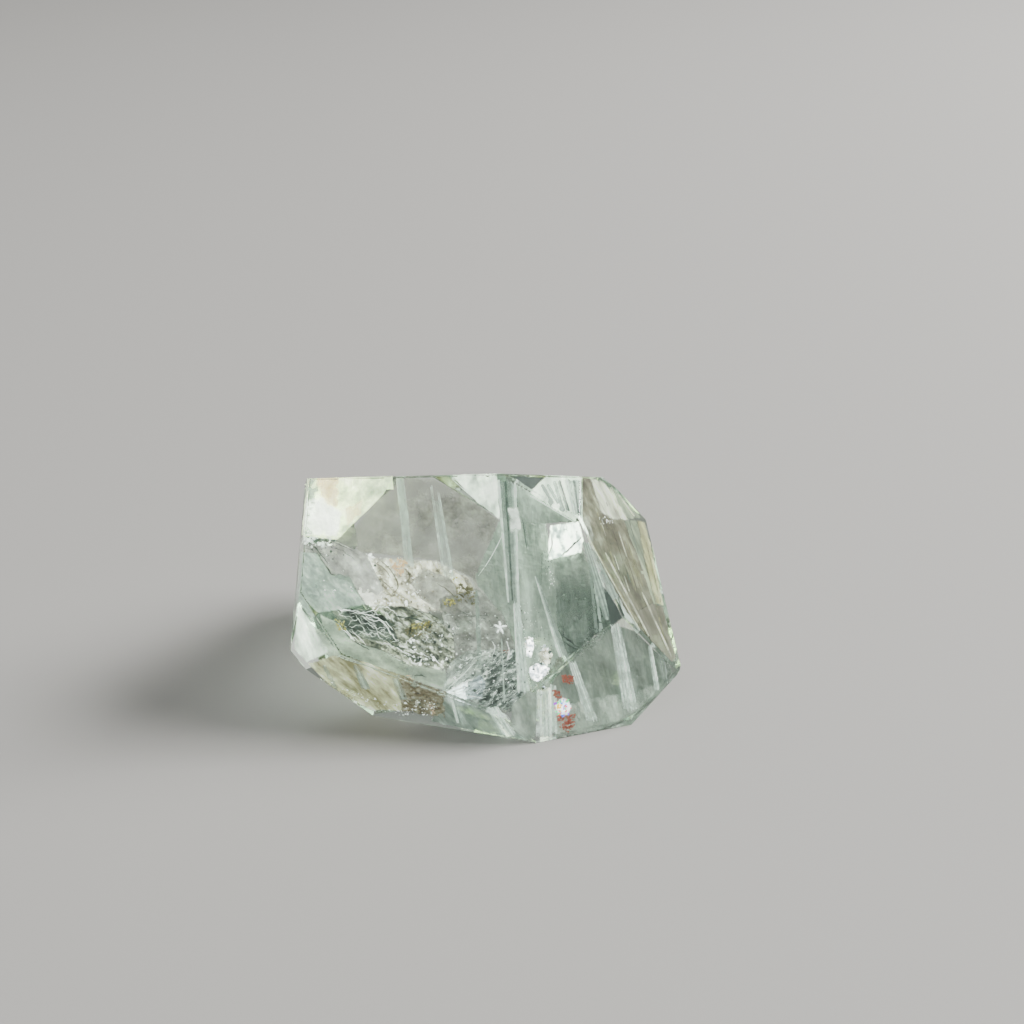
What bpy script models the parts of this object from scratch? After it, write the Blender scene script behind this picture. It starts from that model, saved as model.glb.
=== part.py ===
"""Quartz specimen: a clear quartz free-form, cut and polished all over into flat facets.

It is one solid. A block is cut back by one plane for each facet, the way a lapidary grinds it,
then its edges are eased and a few small chips are taken out of them.
Facet directions: azimuth 0 faces -Y, 90 faces +X and 180 faces +Y. Rise 90 faces straight up.
"""

from math import cos, radians, sin

import bmesh
import bpy
from mathutils import Matrix, Vector

MM = 0.001

# Driving dimensions
MIDDLE_HEIGHT = 9.0 * MM
BLANK_SIZE = 60.0 * MM
EDGE_EASING = 0.09 * MM
EASING_STEPS = 2

# Each facet: azimuth and rise in degrees, then its distance in mm from the stone's middle
FRONT_FACETS = {
    "front": (3.0, 26.0, 8.0),
    "front_upper": (31.5, 52.0, 12.1),
    "lower_right": (15.5, 10.0, 10.4),
    "lower_left": (-13.5, -15.5, 12.1),
    "left_corner": (-28.5, 4.0, 14.5),
}
SIDE_FACETS = {
    "left_side": (-78.0, 12.0, 17.7),
    "left_back": (-103.0, 1.0, 15.3),
    "right_upper": (58.5, 36.5, 12.75),
    "right_lower": (56.5, 33.5, 12.6),
    "right_shoulder": (118.0, 37.0, 14.4),
    "right_side": (106.0, 3.5, 14.6),
}
BACK_FACETS = {
    "top_left": (-177.0, 61.0, 10.4),
    "top_right": (175.5, 60.5, 10.4),
    "back_top": (158.0, 29.5, 9.8),
    "back_main": (180.0, 4.0, 11.2),
    "back_right": (146.0, -11.5, 9.5),
    "back_left": (-140.5, 36.5, 14.2),
}
LOWER_FACETS = {
    "under_back": (-162.5, -38.0, 13.0),
    "under_left": (-97.0, -44.5, 13.0),
    "under_right": (100.0, -47.5, 14.2),
    "heel_right": (96.0, -45.0, 14.8),
    "base": (0.0, -90.0, MIDDLE_HEIGHT / MM),
}
FACETS = {**FRONT_FACETS, **SIDE_FACETS, **BACK_FACETS, **LOWER_FACETS}

# Each chip: the two facets whose edge it is on, a facet at each end of that edge,
# how far along the edge it is, and its radius in mm
CHIPS = (
    ("front", "top_left", "left_side", "front_upper", 0.93, 0.42),
    ("front", "top_left", "left_side", "front_upper", 0.50, 0.30),
    ("right_lower", "right_upper", "front", "right_side", 0.38, 0.36),
    ("right_lower", "right_upper", "front", "right_side", 0.80, 0.28),
    ("front", "lower_right", "right_lower", "lower_left", 0.22, 0.30),
    ("front", "lower_right", "right_lower", "lower_left", 0.29, 0.38),
    ("front", "lower_right", "right_lower", "lower_left", 0.36, 0.24),
    ("front", "lower_left", "left_corner", "lower_right", 0.62, 0.30),
    ("lower_right", "heel_right", "right_side", "under_right", 0.03, 0.55),
    ("front", "left_side", "top_left", "left_corner", 0.52, 0.34),
)
CHIP_DEPTH_SHARE = 0.62
CHIP_FLATNESS = 0.7
CHIP_DETAIL = 2

QUARTZ_COLOUR = (0.80, 0.86, 0.82, 1.0)
QUARTZ_ROUGHNESS = 0.03
QUARTZ_IOR = 1.544


def clear_scene():
    """Remove everything that the new file starts with."""
    for item in list(bpy.data.objects):
        bpy.data.objects.remove(item, do_unlink=True)


def facet_direction(name):
    """Outward direction of a facet."""
    azimuth, rise, _ = FACETS[name]
    flat = cos(radians(rise))
    return Vector((flat * sin(radians(azimuth)), -flat * cos(radians(azimuth)), sin(radians(rise))))


def facet_point(name):
    """The point of a facet's plane that is nearest to the stone's middle."""
    return Vector((0.0, 0.0, MIDDLE_HEIGHT)) + facet_direction(name) * FACETS[name][2] * MM


def corner(first, second, third):
    """The point where three facets' planes meet."""
    names = (first, second, third)
    rows = Matrix([facet_direction(name) for name in names])
    reach = Vector([facet_direction(name).dot(facet_point(name)) for name in names])
    return rows.inverted() @ reach


def cut_facet(mesh, name):
    """Grind one flat facet: slice the solid by its plane and close the cut."""
    everything = mesh.verts[:] + mesh.edges[:] + mesh.faces[:]
    cut = bmesh.ops.bisect_plane(
        mesh,
        geom=everything,
        plane_co=facet_point(name),
        plane_no=facet_direction(name),
        clear_outer=True,
    )
    rim = [item for item in cut["geom_cut"] if isinstance(item, bmesh.types.BMEdge)]
    if rim:
        bmesh.ops.contextual_create(mesh, geom=rim)


def make_stone(collection):
    """The block, cut back by every facet, with its edges slightly eased."""
    mesh = bmesh.new()
    bmesh.ops.create_cube(mesh, size=BLANK_SIZE)
    for name in FACETS:
        cut_facet(mesh, name)
    bmesh.ops.recalc_face_normals(mesh, faces=mesh.faces[:])
    data = bpy.data.meshes.new("quartz_specimen")
    mesh.to_mesh(data)
    mesh.free()
    stone = bpy.data.objects.new("quartz_specimen", data)
    collection.objects.link(stone)
    easing = stone.modifiers.new("eased_edges", "BEVEL")
    easing.width = EDGE_EASING
    easing.segments = EASING_STEPS
    easing.limit_method = "ANGLE"
    easing.angle_limit = radians(4.0)
    return stone


def add_chip(stone, collection, index, chip):
    """Take one small shell-shaped chip out of an edge."""
    first, second, end_a, end_b, along, radius = chip
    start = corner(first, second, end_a)
    end = corner(first, second, end_b)
    outward = (facet_direction(first) + facet_direction(second)).normalized()
    size = radius * MM
    centre = start.lerp(end, along) + outward * size * (1.0 - CHIP_DEPTH_SHARE)
    mesh = bmesh.new()
    bmesh.ops.create_icosphere(mesh, subdivisions=CHIP_DETAIL, radius=size)
    data = bpy.data.meshes.new(f"chip_{index}")
    mesh.to_mesh(data)
    mesh.free()
    cutter = bpy.data.objects.new(f"chip_{index}", data)
    collection.objects.link(cutter)
    run = (end - start).normalized()
    across = outward.cross(run)
    turn = Matrix((run, across, outward)).transposed().to_4x4()
    shape = Matrix.Diagonal((1.35, 1.0, CHIP_FLATNESS, 1.0))
    cutter.matrix_world = Matrix.Translation(centre) @ turn @ shape
    cutter.hide_render = True
    cutter.display_type = "WIRE"
    scoop = stone.modifiers.new(f"chip_{index}", "BOOLEAN")
    scoop.operation = "DIFFERENCE"
    scoop.solver = "EXACT"
    scoop.object = cutter


def centre_over_origin(stone, cutters):
    """Put the origin under the middle of the finished stone's box, on the resting facet."""
    finished = stone.evaluated_get(bpy.context.evaluated_depsgraph_get()).to_mesh()
    points = [vertex.co.copy() for vertex in finished.vertices]
    low = Vector([min(point[axis] for point in points) for axis in range(3)])
    high = Vector([max(point[axis] for point in points) for axis in range(3)])
    middle = (low + high) / 2.0
    shift = Vector((-middle.x, -middle.y, -low.z))
    stone.data.transform(Matrix.Translation(shift))
    for cutter in cutters.objects:
        cutter.location = cutter.location + shift


def quartz_material():
    """Clear quartz with a faint green-grey tint."""
    material = bpy.data.materials.new("quartz")
    material.use_nodes = True
    surface = material.node_tree.nodes["Principled BSDF"]
    surface.inputs["Base Color"].default_value = QUARTZ_COLOUR
    surface.inputs["Roughness"].default_value = QUARTZ_ROUGHNESS
    surface.inputs["Metallic"].default_value = 0.0
    surface.inputs["IOR"].default_value = QUARTZ_IOR
    surface.inputs["Transmission Weight"].default_value = 1.0
    return material


def main():
    clear_scene()
    parts = bpy.data.collections.new("quartz_specimen")
    cutters = bpy.data.collections.new("cutters")
    bpy.context.scene.collection.children.link(parts)
    bpy.context.scene.collection.children.link(cutters)
    stone = make_stone(parts)
    stone.data.materials.append(quartz_material())
    for index, chip in enumerate(CHIPS):
        add_chip(stone, cutters, index, chip)
    centre_over_origin(stone, cutters)


main()
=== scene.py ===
"""Looks of the quartz specimen: clear green-grey quartz with tubes, a veil and stains inside it.

Places inside the stone are given as the pixel of the photograph where they show and a depth in mm
under the facet there. The ray is bent at the surface as quartz bends it.
"""

import random
from math import cos, pi, radians, sin, sqrt

import bmesh
import bpy
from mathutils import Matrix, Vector, geometry, noise
from mathutils.bvhtree import BVHTree


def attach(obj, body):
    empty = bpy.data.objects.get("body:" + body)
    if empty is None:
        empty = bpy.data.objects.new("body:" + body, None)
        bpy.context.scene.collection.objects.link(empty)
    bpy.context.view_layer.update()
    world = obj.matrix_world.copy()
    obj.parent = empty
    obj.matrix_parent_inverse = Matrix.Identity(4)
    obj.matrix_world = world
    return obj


MM = 0.001
QUARTZ_IOR = 1.544

# Camera, as worked out from the photograph
PICTURE_SIDE = 1024
FOCAL_PIXELS = 1200.0
CAMERA_PITCH = radians(31.7)
CAMERA_PLACE = Vector((2.2, -90.8, 73.0)) * MM
SENSOR_WIDTH = 36.0

# The thin film of air that keeps the floor from touching the polished base
FLOOR_GAP = 0.02 * MM

FLOOR_SIZE = 3.0
FLOOR_COLOUR = (0.36, 0.355, 0.348, 1.0)

# Soft lights: azimuth, rise and distance from the stone, size in metres, power and colour
LIGHTS = {
    "window": (102, 38, 0.9, (0.45, 0.38), 21.5, (1.0, 0.985, 0.95)),
    "fill": (-40, 50, 1.0, (0.6, 0.6), 1.5, (1.0, 1.0, 0.98)),
}
ROOM_LOW = (0.50, 0.505, 0.49, 1.0)
ROOM_HIGH = (0.96, 0.97, 0.94, 1.0)
ROOM_STRENGTH = 0.43
SEE_THROUGH_BOUNCES = 18
ALL_BOUNCES = 24

# The quartz: what it takes out of the light, and the faint traces of its polish
ABSORPTION_COLOUR = (0.82, 0.93, 0.84, 1.0)
ABSORPTION_DENSITY = 42.0
POLISH_SCALE = 900.0
POLISH_ROUGHNESS = 0.06

# How far in a bent ray starts and the least depth of a thing inside the stone, in mm
RAY_START = 0.02
LEAST_DEPTH = 0.2

# How far the things inside stay from the far facets and from the surface, and their sizes
WALL_MARGIN = 0.25 * MM
SKIN_DEPTH = 0.03 * MM
FLAKE_THICKNESS = 0.012 * MM
FILM_THICKNESS = 0.02 * MM
TUBE_STEPS = 16
THREAD_STEPS = 6

# How a tube's ends narrow, how far tubes overlap their neighbours, and how thin a thread ends
TUBE_END = 0.35
TUBE_TAPER = 9.0
TUBE_OVERLAP = 1.3
THREAD_END = 0.25

# How many loose threads and streaks are tried, or drawn, in each place
HATCH_THREADS = 420
CURLED_THREADS = 300
LEAF_THREADS = 170
BEVEL_STREAKS = 26

# The noise that colours an inclusion, and the broader one that thins it
GRAIN_DETAIL = 4.0
GRAIN_ROUGHNESS = 0.65
THINNING_SCALE = 0.35
THINNING_RANGE = (0.38, 0.60)

# How a film ends: by how much its fade and its grain are raised, and how steep its last edge is
FADE_GAIN, FADE_DROP = 2.0, -1.4
GRAIN_GAIN = 2.8
EDGE_GAIN = 4.0

# How fast the noise changes with each pixel: crumples, broad and fine, a film's rim and heaps
BROAD_WAVE = 0.11
FINE_WAVE = 0.3
RIM_WAVE = 0.19
HEAP_WAVE = 0.09

# What the stone's faint green does to the colours of the things inside it
STONE_TINT = (0.94, 1.0, 0.955)

# Painted light: a glow given to everything inside the stone, for the light that finds its way to
# it
INNER_LIGHT = 0.06

# About how wide one pixel is at the stone, in metres
PIXEL_SIZE = 0.093 * MM

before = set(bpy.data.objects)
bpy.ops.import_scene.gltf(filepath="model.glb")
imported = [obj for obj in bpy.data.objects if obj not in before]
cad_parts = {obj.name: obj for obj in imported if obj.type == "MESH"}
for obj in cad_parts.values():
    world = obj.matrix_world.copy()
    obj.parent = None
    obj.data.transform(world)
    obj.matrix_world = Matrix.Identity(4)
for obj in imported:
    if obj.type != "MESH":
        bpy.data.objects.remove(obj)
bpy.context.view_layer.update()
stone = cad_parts["quartz_specimen"]
surface = BVHTree.FromPolygons(
    [corner.co for corner in stone.data.vertices],
    [face.vertices for face in stone.data.polygons],
)


def make_material(name):
    """A new node material, with its Principled shader and its node tree."""
    material = bpy.data.materials.new(name)
    material.use_nodes = True
    tree = material.node_tree
    return material, tree, tree.nodes["Principled BSDF"]


def set_values(node, **values):
    """Set a node's plain socket values; underscores in a name stand for spaces."""
    for name, value in values.items():
        node.inputs[name.replace("_", " ")].default_value = value


def quartz_material():
    """Clear quartz, see-through, with a faint green absorption and the traces of its polish."""
    material, tree, shader = make_material("quartz")
    set_values(shader, Base_Color=(1.0,) * 4, IOR=QUARTZ_IOR, Transmission_Weight=1.0)
    place = tree.nodes.new("ShaderNodeTexCoord")
    polish = tree.nodes.new("ShaderNodeTexNoise")
    set_values(polish, Scale=POLISH_SCALE, Detail=2.0)
    rub = tree.nodes.new("ShaderNodeMapRange")
    set_values(rub, From_Min=0.5, From_Max=0.8, To_Min=0.0, To_Max=POLISH_ROUGHNESS)
    tree.links.new(place.outputs["Object"], polish.inputs["Vector"])
    tree.links.new(polish.outputs["Fac"], rub.inputs["Value"])
    tree.links.new(rub.outputs["Result"], shader.inputs["Roughness"])
    absorption = tree.nodes.new("ShaderNodeVolumeAbsorption")
    set_values(absorption, Color=ABSORPTION_COLOUR, Density=ABSORPTION_DENSITY)
    tree.links.new(absorption.outputs["Volume"], tree.nodes["Material Output"].inputs["Volume"])
    return material


def bend_ray(direction, normal):
    """A ray's direction after it enters the quartz through a surface with this outward normal."""
    facing = -direction.dot(normal)
    ratio = 1.0 / QUARTZ_IOR
    along = sqrt(1.0 - ratio * ratio * (1.0 - facing * facing))
    return (direction * ratio + normal * (ratio * facing - along)).normalized()


def ray_through(across, down):
    """The camera's ray through a pixel of the picture."""
    right = (across - PICTURE_SIDE / 2) / FOCAL_PIXELS
    up = (PICTURE_SIDE / 2 - down) / FOCAL_PIXELS
    forward = Vector((0.0, cos(CAMERA_PITCH), -sin(CAMERA_PITCH)))
    upward = Vector((0.0, sin(CAMERA_PITCH), cos(CAMERA_PITCH)))
    return (forward + upward * up + Vector((right, 0.0, 0.0))).normalized()


def on_stone(across, down):
    """Whether the stone shows at a pixel."""
    return surface.ray_cast(CAMERA_PLACE, ray_through(across, down))[0] is not None


def inside(across, down, depth):
    """The place depth mm inside the stone that shows at a pixel, kept off the far facets."""
    place, normal, _, _ = surface.ray_cast(CAMERA_PLACE, ray_through(across, down))
    if place is None:
        raise ValueError(f"pixel {across},{down} misses the stone")
    if normal.dot(place - CAMERA_PLACE) > 0.0:
        normal = -normal
    inward = bend_ray((place - CAMERA_PLACE).normalized(), normal)
    start = place + inward * RAY_START * MM
    far = surface.ray_cast(start, inward)[3]
    return place + inward * min(depth * MM, max(far - WALL_MARGIN, far / 2))


def keep_in(place):
    """A point of an inclusion, moved to just under the surface where it would come out."""
    nearest, normal, _, _ = surface.find_nearest(place)
    if (nearest - place).dot(normal) < SKIN_DEPTH:
        return nearest - normal * SKIN_DEPTH
    return place


def add_tube(mesh, path, widths, sides=6, flatness=1.0):
    """A closed tapering tube along a path; flatness under 1 squashes its section."""
    rings = []
    side_way = None
    for index, place in enumerate(path):
        ahead = path[min(index + 1, len(path) - 1)] - path[max(index - 1, 0)]
        ahead.normalize()
        if side_way is None:
            toward = Vector((1.0, 0.0, 0.0))
            side_way = (toward - ahead * toward.dot(ahead)).normalized()
        side_way = (side_way - ahead * side_way.dot(ahead)).normalized()
        other_way = ahead.cross(side_way)
        ring = []
        for turn in range(sides):
            angle = 2 * pi * turn / sides
            reach = side_way * cos(angle) + other_way * sin(angle) * flatness
            ring.append(mesh.verts.new(place + reach * widths[index] / 2))
        rings.append(ring)
    for low, high in zip(rings, rings[1:]):
        for turn in range(sides):
            after = (turn + 1) % sides
            mesh.faces.new((low[turn], low[after], high[after], high[turn]))
    mesh.faces.new(list(reversed(rings[0])))
    mesh.faces.new(rings[-1])


def add_flake(mesh, place, facing, size, sides, chance):
    """A thin, uneven flat plate."""
    first = facing.orthogonal().normalized()
    second = facing.cross(first).normalized()
    start = chance.uniform(0, 2 * pi)
    top, bottom = [], []
    for corner in range(sides):
        angle = start + 2 * pi * corner / sides
        reach = size / 2 * chance.uniform(0.55, 1.15)
        spot = place + (first * cos(angle) + second * sin(angle)) * reach
        top.append(mesh.verts.new(spot + facing * FLAKE_THICKNESS / 2))
        bottom.append(mesh.verts.new(spot - facing * FLAKE_THICKNESS / 2))
    mesh.faces.new(top)
    mesh.faces.new(list(reversed(bottom)))
    for corner in range(sides):
        after = (corner + 1) % sides
        mesh.faces.new((top[after], top[corner], bottom[corner], bottom[after]))


def add_lump(mesh, place, size, chance):
    """A small angular crumb."""
    lump = bmesh.ops.create_icosphere(mesh, subdivisions=1, radius=size / 2)
    squash = Vector([chance.uniform(0.6, 1.2) for _ in range(3)])
    turn = random_direction(chance).to_track_quat("Z", "Y").to_matrix()
    for corner in lump["verts"]:
        wobble = 1.0 + chance.uniform(-0.3, 0.25)
        corner.co = turn @ (corner.co * squash) * wobble + place


def random_direction(chance):
    """A direction drawn evenly over the sphere."""
    height = chance.uniform(-1.0, 1.0)
    angle = chance.uniform(0.0, 2 * pi)
    flat = sqrt(1.0 - height * height)
    return Vector((flat * cos(angle), flat * sin(angle), height))


def new_piece(name, mesh, material, smooth=False):
    """Make an object of the finished mesh, inside the stone, and let it ride with the stone."""
    data = bpy.data.meshes.new(name)
    for corner in mesh.verts:
        corner.co = keep_in(corner.co)
    for face in mesh.faces:
        face.smooth = smooth
    mesh.to_mesh(data)
    mesh.free()
    data.materials.append(material)
    piece = bpy.data.objects.new(name, data)
    bpy.context.scene.collection.objects.link(piece)
    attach(piece, "root")
    return piece


def box_of(outline):
    """The least and the greatest x, then the least and the greatest y, of an outline."""
    across, down = [x for x, y in outline], [y for x, y in outline]
    return min(across), max(across), min(down), max(down)


def within(outline, x, y):
    """Whether a pixel is inside an outline."""
    found = False
    for (x1, y1), (x2, y2) in zip(outline, outline[1:] + outline[:1]):
        if (y1 > y) != (y2 > y) and x < x1 + (x2 - x1) * (y - y1) / (y2 - y1):
            found = not found
    return found


def edge_distance(outline, x, y):
    """How many pixels a pixel is from the nearest side of an outline."""
    spot = Vector((x, y, 0.0))
    nearest = []
    for start, end in zip(outline, outline[1:] + outline[:1]):
        first, second = Vector((*start, 0.0)), Vector((*end, 0.0))
        place, along = geometry.intersect_point_line(spot, first, second)
        place = first.lerp(second, min(max(along, 0.0), 1.0))
        nearest.append((spot - place).length)
    return min(nearest)


def make_patch(name, outline, depths, material, seed, cell=1.5, crumple=0.3, fade=5.0, grow=None):
    """A crumpled film that shows inside an outline of pixels and thins out to its edges.

    Its depths are in mm, at its top and its bottom; fade is how many pixels wide its thin edge is.
    grow holds two pixels: the film grows from nothing at the first to its full cover at the
    second.
    """
    mesh = bmesh.new()
    thinning = mesh.verts.layers.float.new("fade")
    left, right, top, bottom = box_of(outline)
    columns, rows = int((right - left) / cell) + 1, int((bottom - top) / cell) + 1
    made = {}

    def corner(column, row):
        if (column, row) not in made:
            x = min(left + column * cell, right)
            y = min(top + row * cell, bottom)
            fold = noise.noise(Vector((x * BROAD_WAVE, y * BROAD_WAVE, seed)))
            fold += noise.noise(Vector((x * FINE_WAVE, y * FINE_WAVE, seed))) / 2
            depth = depths[0] + (depths[1] - depths[0]) * (y - top) / (bottom - top)
            made[column, row] = mesh.verts.new(inside(x, y, depth + fold * crumple))
            ripple = noise.noise(Vector((x * RIM_WAVE, y * RIM_WAVE, seed + 5.0)))
            rim = fade * (1.0 + 0.9 * ripple)
            reach = edge_distance(outline, x, y) if within(outline, x, y) else 0.0
            cover = min(reach / max(rim, 0.5), 1.0)
            if grow:
                way = Vector(grow[1]) - Vector(grow[0])
                along = (Vector((x, y)) - Vector(grow[0])).dot(way) / way.length_squared
                cover *= min(max(along, 0.0), 1.0)
            made[column, row][thinning] = cover
        return made[column, row]

    for column in range(columns):
        for row in range(rows):
            x, y = left + (column + 0.5) * cell, top + (row + 0.5) * cell
            if not within(outline, x, y) and edge_distance(outline, x, y) > cell:
                continue
            sides = [min(left + (column + step) * cell, right) for step in (0, 1)]
            ends = [min(top + (row + step) * cell, bottom) for step in (0, 1)]
            if not all(on_stone(side, end) for side in sides for end in ends):
                continue
            loop = (corner(column, row), corner(column, row + 1))
            mesh.faces.new(loop + (corner(column + 1, row + 1), corner(column + 1, row)))
    piece = new_piece(name, mesh, material)
    body = piece.modifiers.new("film", "SOLIDIFY")
    body.thickness = FILM_THICKNESS
    body.offset = 0.0
    return piece


def make_patches(*rows):
    """Films, one to a row: name, outline, depths, material, seed, cell, crumple, fade and grow."""
    for row in rows:
        make_patch(*row)


def smooth_route(points, steps):
    """A smooth curve through a few points, as pixels."""
    route = []
    ends = [points[0]] + list(points) + [points[-1]]
    for before, start, end, after in zip(ends, ends[1:], ends[2:], ends[3:]):
        for step in range(steps):
            t = step / steps
            spot = []
            for axis in range(2):
                bend = 2 * before[axis] - 5 * start[axis] + 4 * end[axis] - after[axis]
                twist = -before[axis] + 3 * start[axis] - 3 * end[axis] + after[axis]
                run = end[axis] - before[axis]
                spot.append(start[axis] + 0.5 * (run * t + bend * t * t + twist * t * t * t))
            route.append(tuple(spot))
    route.append(tuple(points[-1]))
    return route


def make_strokes(name, strokes, material, seed, sway=1.2):
    """Single threads, each along a few pixels at one depth; widths in mm, sway in pixels."""
    mesh = bmesh.new()
    chance = random.Random(seed)
    for points, depth, width in strokes:
        route = smooth_route(points, THREAD_STEPS)
        last = len(route) - 1
        path, widths = [], []
        for index, (x, y) in enumerate(route):
            drift = noise.noise(Vector((x * FINE_WAVE, y * FINE_WAVE, seed)))
            path.append(inside(x, y + drift * sway, depth + drift * 0.1))
            swell = THREAD_END + sin(pi * min(max(index / last, 0.02), 0.98))
            widths.append(width * MM * swell * chance.uniform(0.6, 1.3))
        add_tube(mesh, path, widths, sides=5, flatness=0.6)
    return new_piece(name, mesh, material, smooth=True)


def make_bundles(name, rows, materials, seed):
    """Straight bands of fine side-by-side tubes.

    Each row: left and right pixel of its top edge and how far down that is, the same for its foot,
    the depths in mm at the top and foot, and one letter a tube, left to right, for its material.
    """
    meshes = {letter: bmesh.new() for letter in materials}
    chance = random.Random(seed)
    for top, foot, depths, letters in rows:
        count = len(letters)
        for index, letter in enumerate(letters):
            if letter not in materials:
                continue
            share = (index + 0.5) / count
            early, late = chance.uniform(0.0, 0.05), 1.0 - chance.uniform(0.0, 0.05)
            path, widths = [], []
            for step in range(TUBE_STEPS + 1):
                down = early + (late - early) * step / TUBE_STEPS
                left = top[0] + (foot[0] - top[0]) * down
                right = top[1] + (foot[1] - top[1]) * down
                y = top[2] + (foot[2] - top[2]) * down
                depth = depths[0] + (depths[1] - depths[0]) * down
                path.append(inside(left + (right - left) * share, y, depth))
                from_end = min(down, 1.0 - down)
                blunt = min(1.0, TUBE_END + TUBE_TAPER * from_end)
                wide = (right - left) / count * PIXEL_SIZE * blunt * TUBE_OVERLAP
                widths.append(wide * chance.uniform(0.75, 1.15))
            add_tube(meshes[letter], path, widths, sides=6, flatness=0.5)
    for letter, mesh in meshes.items():
        if mesh.verts:
            new_piece(f"{name}_{materials[letter].name}", mesh, materials[letter], smooth=True)
        else:
            mesh.free()


def scatter(
    name, outline, depths, material, count, sizes, seed, spread=0.3, heaps=0.0, kind="flake"
):
    """Many small flakes or crumbs inside an outline of pixels; heaps over 0 gathers them.

    Depths, sizes and spread, which is how far they stray from their depth, are in mm.
    """
    mesh = bmesh.new()
    chance = random.Random(seed)
    left, right, top, bottom = box_of(outline)
    made = 0
    while made < count:
        x, y = chance.uniform(left, right), chance.uniform(top, bottom)
        if not within(outline, x, y) or not on_stone(x, y):
            continue
        heap = noise.noise(Vector((x * HEAP_WAVE, y * HEAP_WAVE, seed))) * 0.5 + 0.5
        if heap < heaps * chance.random():
            continue
        depth = depths[0] + (depths[1] - depths[0]) * (y - top) / (bottom - top)
        place = inside(x, y, max(depth + chance.gauss(0.0, spread), LEAST_DEPTH))
        size = (sizes[0] + (sizes[1] - sizes[0]) * chance.random() ** 2) * MM
        if kind == "flake":
            add_flake(mesh, place, random_direction(chance), size, chance.randint(3, 6), chance)
        else:
            add_lump(mesh, place, size, chance)
        made += 1
    return new_piece(name, mesh, material)


def scatter_rows(*rows, kind="flake"):
    """Rows of flakes or crumbs: name, outline, depths, material, count, sizes, seed and spread.

    A last number gathers them into heaps.
    """
    for row in rows:
        scatter(*row, kind=kind)


def make_floor():
    """A plain, pale, matt floor, wide enough to fill the view."""
    material, _, shader = make_material("floor")
    set_values(shader, Base_Color=FLOOR_COLOUR, Roughness=0.85)
    mesh = bmesh.new()
    bmesh.ops.create_grid(mesh, x_segments=1, y_segments=1, size=FLOOR_SIZE)
    data = bpy.data.meshes.new("floor")
    mesh.to_mesh(data)
    mesh.free()
    floor = bpy.data.objects.new("floor", data)
    floor.location.z = -FLOOR_GAP
    bpy.context.scene.collection.objects.link(floor)
    data.materials.append(material)


def make_camera():
    """The photograph's camera."""
    data = bpy.data.cameras.new("camera")
    data.sensor_width = SENSOR_WIDTH
    data.lens = FOCAL_PIXELS * SENSOR_WIDTH / PICTURE_SIDE
    data.clip_start = 0.001
    camera = bpy.data.objects.new("camera", data)
    camera.location = CAMERA_PLACE
    camera.rotation_euler = (pi / 2 - CAMERA_PITCH, 0.0, 0.0)
    bpy.context.scene.collection.objects.link(camera)
    bpy.context.scene.camera = camera


def soft_light(name, azimuth, rise, distance, size, power, colour):
    """A rectangular area light that faces the stone."""
    data = bpy.data.lights.new(name, "AREA")
    data.shape = "RECTANGLE"
    data.size, data.size_y = size
    data.energy = power
    data.color = colour
    light = bpy.data.objects.new(name, data)
    flat = distance * cos(radians(rise))
    across, back = flat * sin(radians(azimuth)), -flat * cos(radians(azimuth))
    place = Vector((across, back, distance * sin(radians(rise))))
    light.location = place
    light.rotation_euler = place.to_track_quat("Z", "Y").to_euler()
    bpy.context.scene.collection.objects.link(light)


def make_world():
    """Soft room light: brighter overhead, darker low down."""
    world = bpy.data.worlds.new("room")
    bpy.context.scene.world = world
    world.use_nodes = True
    tree = world.node_tree
    background = tree.nodes["Background"]
    place = tree.nodes.new("ShaderNodeTexCoord")
    split = tree.nodes.new("ShaderNodeSeparateXYZ")
    ramp = tree.nodes.new("ShaderNodeValToRGB")
    ramp.color_ramp.elements[0].position = 0.0
    ramp.color_ramp.elements[0].color = ROOM_LOW
    ramp.color_ramp.elements[1].position = 0.8
    ramp.color_ramp.elements[1].color = ROOM_HIGH
    tree.links.new(place.outputs["Generated"], split.inputs[0])
    tree.links.new(split.outputs["Z"], ramp.inputs[0])
    tree.links.new(ramp.outputs["Color"], background.inputs["Color"])
    background.inputs["Strength"].default_value = ROOM_STRENGTH


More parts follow.
